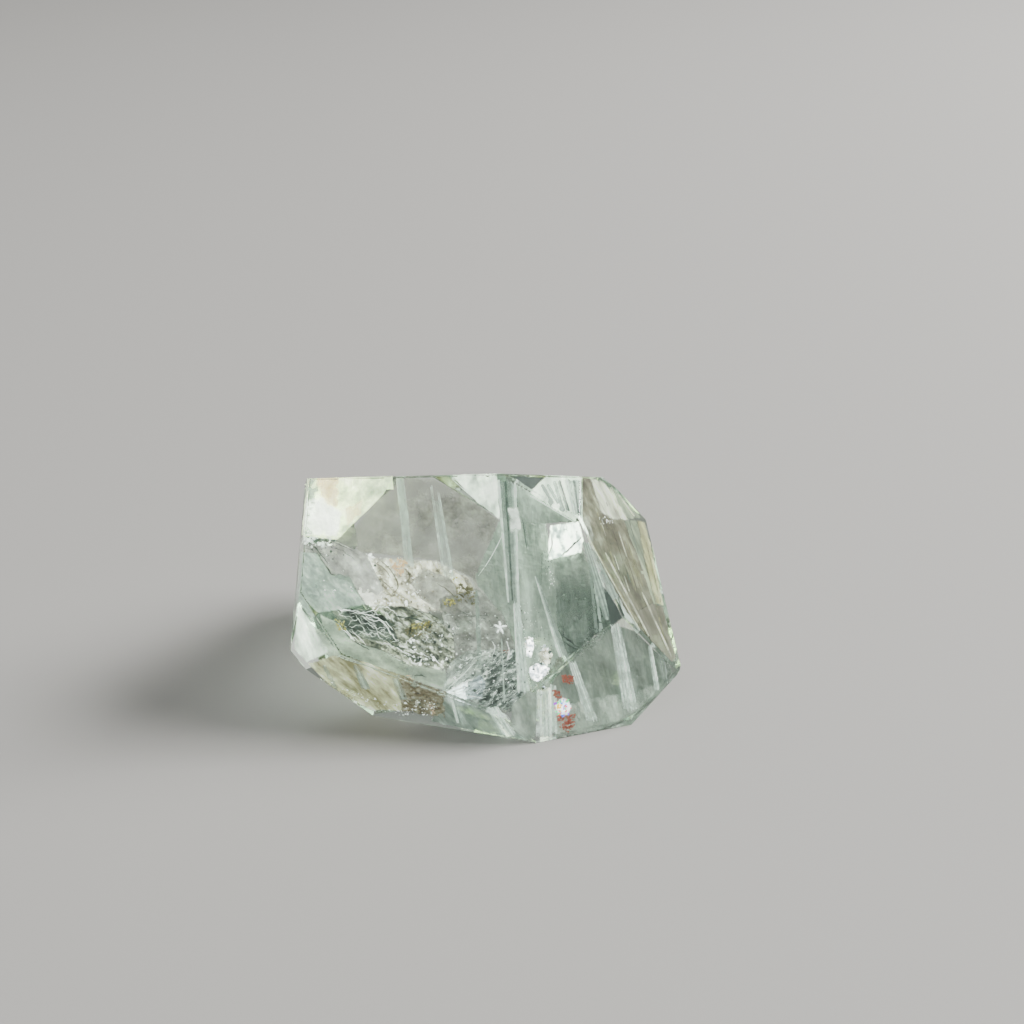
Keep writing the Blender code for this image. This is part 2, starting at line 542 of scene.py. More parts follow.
def inclusion(
    name, colours, scale=1800.0, cover=(1.0, 1.0), streak=None, glow=0.0, roughness=0.45,
    spread=0.16, bias=0.0
):
    """Matter inside the quartz. Its colours follow a fine noise, from the first to the last.

    cover is how opaque it is at its thinnest and its thickest. streak holds two pixels and a
    number: the pattern is drawn out that many times along the line between them. glow is painted
    light: it stands in for the window light that the bent rays bring to it. spread is how much of
    the noise's range the colours take up, and bias moves them up or down in it.
    """
    material, tree, shader = make_material(name)
    place = tree.nodes.new("ShaderNodeTexCoord")
    turn = tree.nodes.new("ShaderNodeMapping")
    turn.vector_type = "TEXTURE"
    if streak:
        start, end, length = streak
        way = inside(*start, LEAST_DEPTH) - inside(*end, LEAST_DEPTH)
        set_values(turn, Rotation=way.to_track_quat("Z", "Y").to_euler(), Scale=(1.0, 1.0, length))
    pattern = tree.nodes.new("ShaderNodeTexNoise")
    set_values(pattern, Scale=scale, Detail=GRAIN_DETAIL, Roughness=GRAIN_ROUGHNESS)
    ramp = tree.nodes.new("ShaderNodeValToRGB")
    stops = ramp.color_ramp.elements
    gaps = max(len(colours) - 1, 1)
    for index, colour in enumerate(colours):
        position = 0.5 + bias - spread + 2 * spread * index / gaps
        stop = stops[index] if index < 2 else stops.new(position)
        stop.position = position
        stop.color = (*[part * tint for part, tint in zip(colour, STONE_TINT)], 1.0)
    patches = tree.nodes.new("ShaderNodeTexNoise")
    set_values(patches, Scale=scale * THINNING_SCALE, Detail=2.0)
    opacity = tree.nodes.new("ShaderNodeMapRange")
    set_values(opacity, From_Min=THINNING_RANGE[0], From_Max=THINNING_RANGE[1])
    set_values(opacity, To_Min=cover[0], To_Max=cover[1])
    tree.links.new(place.outputs["Object"], turn.inputs["Vector"])
    tree.links.new(turn.outputs["Vector"], pattern.inputs["Vector"])
    tree.links.new(turn.outputs["Vector"], patches.inputs["Vector"])
    tree.links.new(pattern.outputs["Fac"], ramp.inputs[0])
    tree.links.new(ramp.outputs["Color"], shader.inputs["Base Color"])
    tree.links.new(patches.outputs["Fac"], opacity.inputs["Value"])
    tree.links.new(opacity.outputs["Result"], shader.inputs["Alpha"])
    tree.links.new(ramp.outputs["Color"], shader.inputs["Emission Color"])
    set_values(shader, Roughness=roughness, Emission_Strength=glow + INNER_LIGHT)
    return material


def film(name, colours, scale, cover, streak=None, glow=0.0, spread=0.2, bias=0.0):
    """Matter for a film: as inclusion makes it, ragged and thin where the film's fade says so."""
    material = inclusion(name, colours, scale, cover, streak, glow, spread=spread, bias=bias)
    tree = material.node_tree
    shader = tree.nodes["Principled BSDF"]
    whole = shader.inputs["Alpha"].links[0].from_socket
    grain = shader.inputs["Base Color"].links[0].from_node.inputs["Fac"].links[0].from_socket
    thin = tree.nodes.new("ShaderNodeAttribute")
    thin.attribute_name = "fade"

    def step(operation, first, second, third=None, clamp=False):
        node = tree.nodes.new("ShaderNodeMath")
        node.operation = operation
        node.use_clamp = clamp
        for socket, value in zip(node.inputs, (first, second, third)):
            if isinstance(value, float):
                socket.default_value = value
            elif value is not None:
                tree.links.new(value, socket)
        return node.outputs[0]

    lifted = step("MULTIPLY_ADD", thin.outputs["Fac"], FADE_GAIN, FADE_DROP)
    ragged = step("MULTIPLY_ADD", grain, GRAIN_GAIN, lifted, clamp=True)
    ended = step("MULTIPLY", thin.outputs["Fac"], EDGE_GAIN, clamp=True)
    edge = step("MULTIPLY", ragged, ended)
    tree.links.new(step("MULTIPLY", whole, edge), shader.inputs["Alpha"])
    return material


WHITE = inclusion("white", ((0.80, 0.86, 0.82), (0.97, 0.99, 0.97)), glow=1.2)
# White grains and veins with painted glints: they glow far past white.
GLINT = inclusion("glint", ((0.92, 0.95, 0.94), (1.0, 1.0, 1.0)), glow=2.2, roughness=0.2)
# Dark grit, and painted shade: the same dark flakes and threads also darken gaps between white
# crumbs, pits and creases.
DARK_GRIT_AND_SHADE = inclusion("dark_grit_and_shade", ((0.05, 0.07, 0.065), (0.14, 0.18, 0.16)), roughness=0.3)
RAINBOW = {
    "blue": (0.02, 0.22, 1.0),
    "green": (0.02, 0.85, 0.35),
    "gold": (1.0, 0.62, 0.02),
    "red": (1.0, 0.03, 0.05),
    "violet": (0.50, 0.05, 0.90),
}


def make_growth_tubes():
    """The bands of straight, nearly upright tubes that cross the stone."""
    tubes = {
        "b": inclusion("tube_bright", ((0.60, 0.70, 0.64), (0.96, 1.0, 0.96)), 2000.0, (0.4, 0.95),
                       glow=0.75),
        "p": inclusion("tube_pale", ((0.46, 0.56, 0.51), (0.80, 0.90, 0.84)), 2000.0, (0.35, 0.75),
                       glow=0.45),
        "m": inclusion("tube_middle", ((0.34, 0.42, 0.38), (0.56, 0.64, 0.60)), 2000.0, (0.3, 0.6),
                       glow=0.25),
        "w": inclusion("tube_faint", ((0.56, 0.64, 0.60), (0.94, 1.0, 0.97)), 2500.0, (0.15, 0.6),
                       glow=0.75),
        "d": inclusion("tube_dark", ((0.12, 0.17, 0.16), (0.26, 0.32, 0.30)), 2500.0, (0.5, 0.8)),
    }
    make_bundles("tubes", (
        ((497, 516, 477), (508, 519, 606), (1.6, 2.6), "bmmdmmpb"),
        ((516, 520, 479), (526, 529, 548), (2.6, 3.4), "dm"),
        ((513, 519, 600), (518, 530, 696), (2.6, 2.2), "bwpwpw"),
        ((514, 516, 520), (521, 523, 690), (3.0, 2.4), "b"),
        ((396, 399, 478), (405, 408, 560), (5.0, 7.4), "w.w"),
        ((402, 404, 478), (411, 413, 566), (5.0, 7.4), "w.w"),
        ((430, 432, 484), (443, 445, 578), (5.6, 8.0), "w.w"),
        ((437, 439, 490), (452, 454, 580), (6.0, 8.0), "w.w"),
        ((582, 588, 540), (605, 617, 622), (3.0, 2.0), "mpmpmb"),
        ((592, 596, 545), (640, 646, 634), (1.2, 0.8), "pm"),
        ((588, 592, 556), (596, 604, 640), (4.0, 3.0), "m.p"),
        ((600, 604, 570), (610, 616, 600), (1.4, 1.2), "mp"),
        ((552, 562, 480), (562, 572, 512), (0.7, 0.9), "pm.md."),
        ((565, 580, 479), (574, 582, 516), (0.7, 0.9), "bmpdpm"),
        ((540, 549, 484), (552, 560, 504), (0.7, 0.9), "m.p"),
        ((534, 536, 574), (560, 569, 660), (2.2, 2.0), "bpmm"),
        ((568, 575, 660), (587, 598, 722), (1.4, 1.0), "wpwpbpw"),
        ((537, 549, 690), (536, 552, 738), (1.2, 0.8), "wwbwpwpw"),
        ((550, 556, 684), (549, 557, 734), (1.6, 1.0), "wpw"),
        ((610, 620, 622), (624, 638, 712), (1.6, 1.0), "wpwpwbpw"),
        ((622, 628, 628), (636, 642, 700), (2.4, 1.6), "m.m"),
        ((648, 651, 644), (655, 660, 692), (1.2, 1.0), "pb"),
        ((658, 664, 652), (664, 668, 684), (1.8, 1.2), "m.m"),
        ((501, 502, 638), (504, 505, 704), (3.0, 1.5), "p"),
        ((475, 478, 590), (479, 483, 690), (5.0, 3.5), "m"),
        ((485, 497, 706), (503, 517, 736), (1.0, 0.8), "pw.wpbw"),
        ((450, 456, 696), (457, 464, 724), (1.0, 0.8), "bmp"),
        ((352, 358, 664), (362, 371, 690), (1.0, 0.8), "mpm"),
        ((392, 398, 678), (400, 408, 700), (1.0, 0.8), "mpm"),
        ((322, 326, 664), (334, 338, 690), (1.0, 0.8), "m"),
    ), tubes, 11)


def make_right_bevel():
    """Brown, olive and cream streaks that run down under the two right-hand facets."""
    down = ((590, 530), (640, 630), 5.0)
    brown = film("bevel_brown",
                 ((0.045, 0.04, 0.027), (0.14, 0.13, 0.083), (0.31, 0.31, 0.215),
                  (0.66, 0.68, 0.50)), 900.0, (0.7, 0.95), ((590, 530), (640, 630), 2.6), 0.2)
    pale = film("bevel_pale", ((0.22, 0.22, 0.16), (0.62, 0.64, 0.52), (1.0, 1.0, 0.90)), 1500.0,
                (0.6, 0.95), down, 0.8)
    teal = film("bevel_teal", ((0.12, 0.16, 0.11), (0.34, 0.40, 0.29), (0.74, 0.80, 0.60)), 1300.0,
                (0.6, 0.95), down, 0.45)
    yellow = film("bevel_yellow", ((0.20, 0.19, 0.08), (0.52, 0.51, 0.29), (0.95, 0.95, 0.68)),
                  1500.0, (0.6, 0.95), down, 0.55)
    tan = film("bevel_tan", ((0.14, 0.135, 0.10), (0.26, 0.255, 0.19), (0.42, 0.42, 0.34)), 1200.0,
               (0.8, 0.95), down, 0.1)
    make_patches(
        ("bevel_brown",
         [(582, 477), (592, 478), (604, 500), (624, 519), (640, 562), (654, 604), (650, 640),
          (626, 612), (598, 558), (582, 520)], (0.5, 0.7), brown, 71, 1.5, 0.1, 2.0),
        ("bevel_pale", [(590, 478), (602, 480), (612, 490), (630, 521), (612, 520), (600, 512)],
         (0.35, 0.4), pale, 72, 1.5, 0.05, 4.0),
        ("bevel_grey", [(612, 486), (642, 518), (628, 520), (618, 504)], (0.4, 0.4), teal, 74, 1.5,
         0.05, 2.0),
        ("bevel_teal", [(622, 519), (638, 520), (652, 566), (661, 604), (652, 606), (640, 572)],
         (0.6, 0.7), teal, 75, 1.5, 0.05, 3.0),
        ("bevel_yellow", [(636, 519), (645, 522), (652, 548), (664, 606), (656, 604), (646, 566)],
         (0.4, 0.5), yellow, 76, 1.5, 0.05, 3.0),
        ("bevel_tan",
         [(636, 612), (652, 603), (663, 606), (670, 634), (676, 657), (672, 662), (650, 640)],
         (0.4, 0.5), tan, 73, 1.5, 0.05, 2.0),
    )
    streaks = {
        "c": inclusion("streak_cream", ((0.50, 0.50, 0.38), (0.97, 0.97, 0.86)), cover=(0.3, 1.0),
                       glow=0.7),
        "y": inclusion("streak_yellow", ((0.34, 0.34, 0.18), (0.62, 0.60, 0.36)), cover=(0.2, 0.8),
                       glow=0.25),
        "n": inclusion("streak_brown", ((0.10, 0.08, 0.05), (0.24, 0.21, 0.15)), cover=(0.2, 0.8)),
        "g": inclusion("streak_green", ((0.12, 0.18, 0.16), (0.28, 0.36, 0.32)), cover=(0.2, 0.8)),
    }
    chance = random.Random(23)
    rows = []
    for _ in range(BEVEL_STREAKS):
        share = chance.random()
        top = (586 + 30 * share, 484)
        if share >= 0.6:
            top = (604 + 90 * (share - 0.6), 486 + 80 * (share - 0.6))
        foot = (628 + 44 * share, 610 + 46 * share)
        begin = chance.uniform(0.02, 0.7)
        end = min(begin + chance.uniform(0.10, 0.35), 0.97)
        start = [top[axis] + (foot[axis] - top[axis]) * begin for axis in range(2)]
        stop = [top[axis] + (foot[axis] - top[axis]) * end for axis in range(2)]
        wide = chance.uniform(0.3, 1.3)
        depth = chance.uniform(0.25, 0.6)
        letter = chance.choice("ccynng" if share < 0.6 else "cyyggg")
        head = (start[0], start[0] + wide, start[1])
        rows.append((head, (stop[0], stop[0] + wide, stop[1]), (depth, depth), letter))
    rows += [
        ((609, 612, 486), (621, 624, 519), (0.25, 0.25), "cc"),
        ((617, 619, 494), (634, 636, 517), (0.25, 0.25), "c"),
        ((585, 587, 533), (640, 643, 632), (0.3, 0.3), "cy"),
        ((640, 642, 590), (672, 674, 660), (0.25, 0.25), "c"),
        ((645, 647, 540), (660, 662, 604), (0.25, 0.25), "y"),
        ((604, 606, 552), (650, 652, 640), (0.3, 0.3), "c"),
    ]
    make_bundles("streaks", rows, streaks, 24)
    scatter_rows(
        ("bevel_nicks", [(598, 517), (612, 516), (613, 523), (600, 524)], (0.22, 0.22), GLINT, 26,
         (0.06, 0.24), 25, 0.03),
        ("bevel_nicks_dark", [(600, 518), (638, 517), (638, 523), (602, 525)], (0.22, 0.22), DARK_GRIT_AND_SHADE,
         26, (0.06, 0.22), 26, 0.03),
        ("bevel_specks", [(592, 506), (620, 530), (636, 566), (606, 556)], (0.3, 0.4), DARK_GRIT_AND_SHADE, 46,
         (0.05, 0.20), 27, 0.05),
    )


def make_left_end():
    """The creamy corner and the hazy window, the feathers below them and the olive lower bevel."""
    cream = film("cream",
                 ((0.26, 0.34, 0.23), (0.56, 0.65, 0.44), (0.92, 0.98, 0.68), (1.0, 1.0, 0.82)),
                 420.0, (0.8, 1.0), ((345, 525), (380, 492), 1.6), 1.9, spread=0.15, bias=-0.02)
    tan = film("tan_corner", ((0.62, 0.50, 0.27), (0.84, 0.70, 0.44), (0.98, 0.90, 0.66)), 900.0,
               (0.4, 0.85), glow=1.5)
    cloud = film("cloud", ((0.72, 0.76, 0.66), (1.0, 1.0, 0.94)), 1100.0, (0.1, 0.95), glow=3.0)
    leafy = film("green_rim", ((0.34, 0.42, 0.34), (0.66, 0.76, 0.64)), 900.0, (0.4, 0.8),
                 glow=0.9)
    feather = film("feather", ((0.24, 0.30, 0.27), (0.48, 0.57, 0.51), (0.98, 1.0, 0.95)), 1300.0,
                   (0.6, 0.95), ((305, 555), (345, 600), 3.0), 0.8, bias=0.02)
    slate = film("slate", ((0.26, 0.33, 0.30), (0.46, 0.53, 0.48)), 900.0, (0.8, 0.95), glow=0.28)
    # Painted sheen: a glowing film under the small left facet, white at the top and pale green
    # below.
    corner_sheen = film("corner_sheen", ((0.26, 0.31, 0.26), (0.62, 0.70, 0.60), (1.0, 1.0, 0.95)), 700.0,
               (0.6, 0.95), ((303, 610), (316, 655), 2.5), 2.3)
    olive = film("olive_wash",
                 ((0.20, 0.19, 0.09), (0.42, 0.41, 0.25), (0.62, 0.63, 0.42), (1.0, 1.0, 0.84)),
                 800.0, (0.8, 0.98), ((330, 665), (372, 704), 3.0), 0.8, spread=0.14)
    brown = film("brown_wash",
                 ((0.08, 0.06, 0.03), (0.22, 0.18, 0.11), (0.40, 0.37, 0.26), (0.80, 0.78, 0.66)),
                 1500.0, (0.75, 0.98), glow=0.25)
    mint = film("mint_wash", ((0.20, 0.26, 0.22), (0.42, 0.50, 0.45), (0.90, 0.98, 0.93)), 1300.0,
                (0.6, 0.9), ((485, 706), (510, 736), 3.0), 0.35, bias=0.04)
    crystal = inclusion("bevel_crystal", ((0.42, 0.39, 0.32), (0.86, 0.84, 0.76)),
                        cover=(0.3, 0.9), glow=0.3)
    dusk = inclusion("bevel_dusk", ((0.10, 0.08, 0.05), (0.24, 0.20, 0.14)), cover=(0.4, 0.9))
    crystal_line = [(402, 694), (412, 688), (436, 700), (434, 716), (404, 712)]
    make_patch("cream_corner", [(308, 475), (394, 475), (384, 494), (337, 540), (302, 536)],
               (1.4, 2.6), cream, 81, cell=1.2, fade=1.5)
    haze = film("window_haze", ((0.22, 0.19, 0.19), (0.48, 0.435, 0.42), (0.80, 0.76, 0.73)),
                600.0, (0.3, 0.65), glow=0.16)
    window_line = [(396, 476), (413, 477), (437, 480), (452, 489), (478, 504), (499, 520),
                   (477, 584), (470, 577), (437, 560), (400, 556), (362, 553), (340, 541),
                   (384, 493)]
    make_patch("window_haze", window_line, (7.0, 8.6), haze, 80, cell=2.0, crumple=0.2, fade=2.0,
               grow=((350, 470), (430, 530)))
    plug = film("window_plug", ((0.30, 0.295, 0.28), (0.50, 0.49, 0.47)), 900.0, (0.9, 1.0),
                glow=0.25)
    band = film("window_band", ((0.42, 0.47, 0.45), (0.72, 0.80, 0.76)), 1500.0, (0.1, 0.5),
                ((400, 480), (410, 560), 6.0), 0.6)
    make_patches(
        ("window_band_left", [(396, 477), (404, 477), (415, 567), (404, 567)], (4.9, 7.3), band,
         170, 1.2, 0.0, 3.5),
        ("window_band_right", [(433, 500), (440, 500), (457, 580), (444, 580)], (5.5, 7.9), band,
         180, 1.2, 0.0, 4.5),
        ("window_plug", [(336, 541), (348, 526), (356, 528), (358, 546), (350, 548)], (3.6, 4.0),
         plug, 96, 1.0, 0.1, 2.0),
        ("tan_corner", [(314, 476), (340, 476), (340, 508), (330, 514), (320, 500)], (1.2, 1.4),
         tan, 94, 1.2, 0.3, 12.0),
        ("tan_corner_low", [(344, 508), (364, 498), (362, 514), (346, 530)], (1.3, 1.4), tan, 99,
         1.2, 0.3, 7.0),
        ("cloud_corner", [(304, 500), (322, 496), (344, 512), (338, 538), (304, 536)], (1.1, 1.2),
         cloud, 100, 1.2, 0.3, 9.0),
        ("green_rim", [(303, 476), (312, 476), (310, 536), (302, 536)], (1.2, 1.2), leafy, 95, 1.2,
         0.3, 4.0),
        ("feather",
         [(300, 552), (317, 553), (331, 574), (350, 582), (366, 604), (338, 610), (318, 613),
          (298, 594)], (2.0, 3.0), feather, 82, 1.2, 0.3, 2.0),
        ("slate", [(333, 572), (350, 575), (364, 604), (332, 611), (316, 604)], (3.2, 3.4), slate,
         83, 1.5, 0.1, 7.0),
        ("left_facet_sheen", [(298, 602), (331, 652), (306, 663), (293, 648)], (0.6, 0.8), corner_sheen, 84, 1.0,
         0.1, 4.0),
        ("olive_wash", [(308, 664), (334, 655), (406, 680), (402, 711), (372, 710), (336, 692)],
         (0.9, 1.2), olive, 85, 1.5, 0.1, 2.0),
        ("brown_wash", [(398, 677), (447, 694), (446, 720), (400, 712)], (1.0, 1.0), brown, 86,
         1.5, 0.1, 7.0),
        ("mint_wash", [(444, 694), (480, 704), (512, 728), (530, 742), (430, 722)], (1.0, 1.0),
         mint, 87, 1.5, 0.1, 3.0),
    )
    scatter_rows(
        ("corner_shards", [(303, 537), (330, 536), (332, 548), (304, 547)], (1.2, 1.4), WHITE, 60,
         (0.06, 0.50), 88, 0.1, 0.5),
        ("corner_gaps", [(310, 537), (336, 538), (332, 550), (312, 549)], (1.0, 1.2), DARK_GRIT_AND_SHADE, 22,
         (0.06, 0.30), 89, 0.1),
        ("bevel_rim", [(318, 676), (350, 690), (408, 708), (410, 718), (376, 712), (340, 700)],
         (0.5, 0.5), WHITE, 80, (0.04, 0.40), 90, 0.15, 0.9),
        ("bevel_grit", [(404, 696), (440, 700), (436, 718), (406, 715)], (0.5, 0.6), WHITE, 60,
         (0.06, 0.34), 91, 0.1, 0.6),
        ("bevel_rust", [(404, 690), (440, 698), (436, 718), (410, 715)], (0.5, 0.6), DARK_GRIT_AND_SHADE, 50,
         (0.06, 0.30), 93, 0.1, 0.6),
        ("bevel_crystals", crystal_line, (0.6, 0.5), crystal, 34, (0.12, 0.60), 92, 0.1),
        ("bevel_crystal_gaps", crystal_line, (0.6, 0.5), dusk, 40, (0.10, 0.45), 97, 0.1),
    )


def make_back():
    """Milky and dark areas behind the right half of the front facet, and the ridge above them."""
    upright = ((548, 530), (560, 640), 5.0)
    milky = film("milky", ((0.20, 0.25, 0.215), (0.42, 0.49, 0.43), (0.80, 0.90, 0.82)), 700.0,
                 (0.45, 0.85), upright, 0.38)
    wash = film("lower_wash", ((0.14, 0.175, 0.15), (0.28, 0.335, 0.29), (0.54, 0.62, 0.55)),
                800.0, (0.7, 0.92), ((600, 660), (616, 720), 4.0), 0.18)
    murky = film("murky", ((0.09, 0.115, 0.10), (0.21, 0.26, 0.23), (0.42, 0.49, 0.44)), 900.0,
                 (0.5, 0.85), ((548, 530), (560, 640), 8.0), 0.24)
    fog = film("murky_fog", ((0.20, 0.25, 0.215), (0.38, 0.45, 0.395), (0.66, 0.74, 0.67)), 1100.0,
               (0.6, 0.9), upright, 0.25)
    # Painted reflection: a strongly glowing film where a flat crack inside mirrors the light.
    bright = film("crack_reflection",
                  ((0.08, 0.11, 0.10), (0.32, 0.40, 0.35), (0.90, 1.0, 0.84), (1.0, 1.0, 0.92)),
                  1200.0, (0.85, 1.0), ((566, 524), (566, 556), 1.6), 6.0, spread=0.15, bias=-0.04)
    pane = film("white_pane", ((0.30, 0.34, 0.31), (0.74, 0.80, 0.74), (1.0, 1.0, 0.97)), 900.0,
                (0.7, 0.95), glow=1.1)
    # Painted sheen: glowing milky films that fill the facets along the top ridge, where the stone
    # mirrors the light.
    ridge = film("ridge_sheen", ((0.30, 0.36, 0.30), (0.70, 0.79, 0.67), (1.0, 1.0, 0.92)), 1000.0,
                 (0.7, 1.0), upright, 2.2)
    foot = film("foot_glow", ((0.30, 0.36, 0.31), (0.56, 0.64, 0.56), (0.95, 1.0, 0.94)), 900.0,
                (0.3, 0.75), ((600, 660), (616, 720), 4.0), 0.45)
    make_patches(
        ("milky_sheet",
         [(500, 519), (546, 520), (552, 560), (548, 600), (562, 652), (534, 694), (516, 650),
          (503, 616), (477, 586), (475, 575)], (5.0, 4.0), milky, 101, 2.0, 0.3, 3.0),
        ("murky_fog",
         [(540, 552), (584, 548), (602, 580), (614, 626), (604, 632), (566, 660), (552, 630),
          (540, 590)], (4.6, 3.2), fog, 120, 1.5, 0.3, 6.0),
    )
    murk_line = [(552, 560), (590, 552), (604, 590), (613, 626), (602, 634), (568, 658),
                 (556, 624)]
    make_patches(
        ("murky_sheet", murk_line, (4.4, 3.0), murky, 102, 1.5, 0.3, 4.0,
         ((568, 566), (586, 636))),
        ("murky_floor", murk_line, (4.2, 2.8), murky, 118, 1.5, 0.3, 6.0,
         ((576, 600), (590, 650))),
        ("lower_wash",
         [(570, 660), (612, 626), (622, 627), (636, 713), (600, 732), (556, 739), (549, 700),
          (552, 680)], (2.4, 1.4), wash, 116, 1.5, 0.15, 2.5),
        ("lower_wash_right", [(616, 625), (640, 632), (674, 664), (664, 692), (634, 714)],
         (2.0, 1.6), wash, 117, 1.5, 0.15, 2.5),
        ("foot_glow",
         [(553, 716), (574, 700), (636, 690), (664, 680), (660, 696), (632, 714), (598, 732),
          (556, 740)], (1.2, 1.0), foot, 124, 1.5, 0.3, 2.0, ((590, 690), (600, 735))),
        ("crack_reflection", [(550, 525), (579, 521), (584, 540), (581, 553), (547, 561)], (3.6, 3.6),
         bright, 103, 1.0, 0.1, 4.0),
        ("white_window", [(507, 507), (519, 506), (522, 530), (510, 534)], (1.2, 1.2), pane, 104,
         1.0, 0.1, 6.0),
    )
    # Painted shade: a dark film in two small triangles where facets of the stone show dark.
    wedge = film("wedge", ((0.06, 0.085, 0.08), (0.15, 0.19, 0.18)), 900.0, (0.8, 0.95), upright)
    make_patches(
        ("dark_wedge", [(603, 585), (624, 617), (611, 626)], (1.0, 1.0), wedge, 105, 1.0, 0.0,
         1.0),
        ("dark_notch", [(511, 476), (545, 477), (532, 490)], (0.6, 0.8), wedge, 106, 1.0, 0.0,
         2.0),
    )
    heel = film("heel", ((0.20, 0.245, 0.21), (0.40, 0.465, 0.41), (0.72, 0.80, 0.73)), 900.0,
                (0.65, 0.9), ((520, 700), (530, 735), 3.0), 0.3)
    make_patches(
        ("heel_wash", [(511, 706), (527, 691), (539, 692), (535, 738), (524, 741), (512, 728)],
         (1.4, 1.0), heel, 98, 1.2, 0.1, 2.0),
        ("ridge_left", [(451, 475), (497, 474), (500, 520), (478, 503)], (1.0, 3.2), ridge, 107,
         1.5, 0.1, 2.0),
        ("ridge_right", [(532, 490), (546, 476), (581, 477), (582, 518), (556, 507)], (1.0, 2.4),
         ridge, 108, 1.5, 0.1, 2.0),
        ("ridge_lower", [(516, 483), (534, 490), (556, 506), (582, 519), (550, 524), (518, 523)],
         (2.2, 3.0), milky, 119, 1.5, 0.3, 2.0),
    )
    # Painted highlights: white threads along the lines where facet edges show through the stone.
    make_strokes("back_edges", (
        (((453, 480), (468, 493), (484, 506), (500, 518)), 3.0, 0.07),
        (((482, 500), (488, 490), (493, 481)), 2.4, 0.07),
        (((516, 482), (536, 492), (556, 504), (579, 518)), 2.4, 0.07),
        (((478, 576), (488, 562), (498, 544), (506, 526)), 4.6, 0.05),
    ), WHITE, 109, sway=0.0)
    make_strokes("back_scratches", (
        (((561, 556), (568, 550), (575, 543), (582, 537)), 2.2, 0.16),
        (((548, 556), (552, 545), (551, 533)), 3.0, 0.08),
        (((558, 630), (568, 640), (580, 648)), 2.6, 0.14),
        (((562, 640), (572, 647), (580, 650)), 2.6, 0.12),
    ), DARK_GRIT_AND_SHADE, 110)
    scatter_rows(
        ("crack_stains", [(560, 526), (582, 524), (580, 545), (556, 556)], (3.4, 3.4), DARK_GRIT_AND_SHADE, 26,
         (0.05, 0.20), 125, 0.05, 0.8),
        ("crack_grit", [(543, 556), (553, 556), (548, 576), (543, 576)], (3.0, 3.0), DARK_GRIT_AND_SHADE, 34,
         (0.05, 0.22), 111),
        ("crack_glints", [(546, 568), (556, 572), (554, 592), (548, 590)], (3.2, 3.0), WHITE, 22,
         (0.05, 0.20), 112, 0.3, 0.5),
        ("murky_teeth", [(560, 652), (604, 626), (608, 632), (568, 660)], (2.8, 2.8), DARK_GRIT_AND_SHADE, 70,
         (0.06, 0.30), 113, 0.1),
        ("spark_cloud", [(516, 600), (534, 604), (556, 650), (552, 690), (526, 688)], (3.6, 1.8),
         WHITE, 70, (0.04, 0.20), 114, 0.3, 0.8),
    )
    gleam = film("foot_gleam", ((0.42, 0.48, 0.40), (0.84, 0.90, 0.76), (1.0, 1.0, 0.90)), 2200.0,
                 (0.1, 0.8), ((543, 690), (544, 738), 8.0), 1.5)
    make_patches(
        ("foot_gleam", [(536, 690), (551, 687), (553, 737), (540, 741)], (1.3, 1.0), gleam, 192,
         1.0, 0.0, 3.0),
        ("foot_gleam_left", [(486, 708), (496, 713), (517, 737), (507, 738)], (1.1, 0.9), gleam,
         193, 1.0, 0.0, 3.0),
    )
    # Painted sparkle: strongly glowing films, and shards that glow with cool and warm tints, where
    # light glints off the crumbly cluster.
    spark = film("spark",
                 ((0.07, 0.08, 0.09), (0.30, 0.32, 0.36), (0.86, 0.80, 0.84), (1.0, 1.0, 0.92)),
                 3000.0, (0.4, 1.0), glow=7.0, spread=0.15)
    ember = film("ember", ((0.16, 0.14, 0.10), (0.56, 0.52, 0.42), (1.0, 0.98, 0.90)), 1800.0,
                 (0.3, 0.9), glow=1.6, spread=0.13)
    make_patches(
        ("spark_upper", [(527, 640), (533, 637), (534, 646), (531, 658), (526, 656)], (3.0, 3.0),
         spark, 126, 0.8, 0.3, 1.2),
        ("spark_ember", [(537, 654), (545, 647), (553, 654), (550, 664), (540, 664)], (2.8, 2.6),
         ember, 188, 0.8, 0.3, 2.0),
        ("spark_lower", [(529, 668), (537, 663), (550, 668), (546, 675), (538, 682), (530, 678)],
         (2.3, 2.1), spark, 189, 0.8, 0.3, 1.2),
    )
    shards = {
        "cool": inclusion("shard_cool", ((0.50, 0.56, 0.66), (0.86, 0.92, 1.0)), cover=(0.5, 1.0),
                          glow=1.4),
        "warm": inclusion("shard_warm", ((0.62, 0.56, 0.48), (1.0, 0.96, 0.86)), cover=(0.5, 1.0),
                          glow=1.4),
        "white": GLINT,
        "dark": DARK_GRIT_AND_SHADE,
    }
    for index, (outline, count, depths) in enumerate((
        ([(525, 636), (532, 638), (531, 652), (524, 650)], 9, (3.0, 3.0)),
        ([(540, 646), (551, 644), (552, 653), (542, 656)], 9, (2.8, 2.6)),
        ([(528, 670), (540, 662), (549, 664), (548, 674), (538, 682), (528, 680)], 18, (2.4, 2.0)),
        ([(538, 690), (545, 685), (546, 693), (540, 697)], 6, (1.8, 1.6)),
    )):
        for turn, (kind, material) in enumerate(shards.items()):
            name, seed = f"shards_{kind}_{index + 1}", 220 + 10 * index + turn
            scatter(name, outline, depths, material, count, (0.08, 0.42), seed)
    scatter("spark_gaps", [(514, 600), (538, 604), (560, 660), (548, 690), (516, 680)], (3.6, 1.8),
            DARK_GRIT_AND_SHADE, 130, (0.05, 0.26), 115, heaps=0.6)


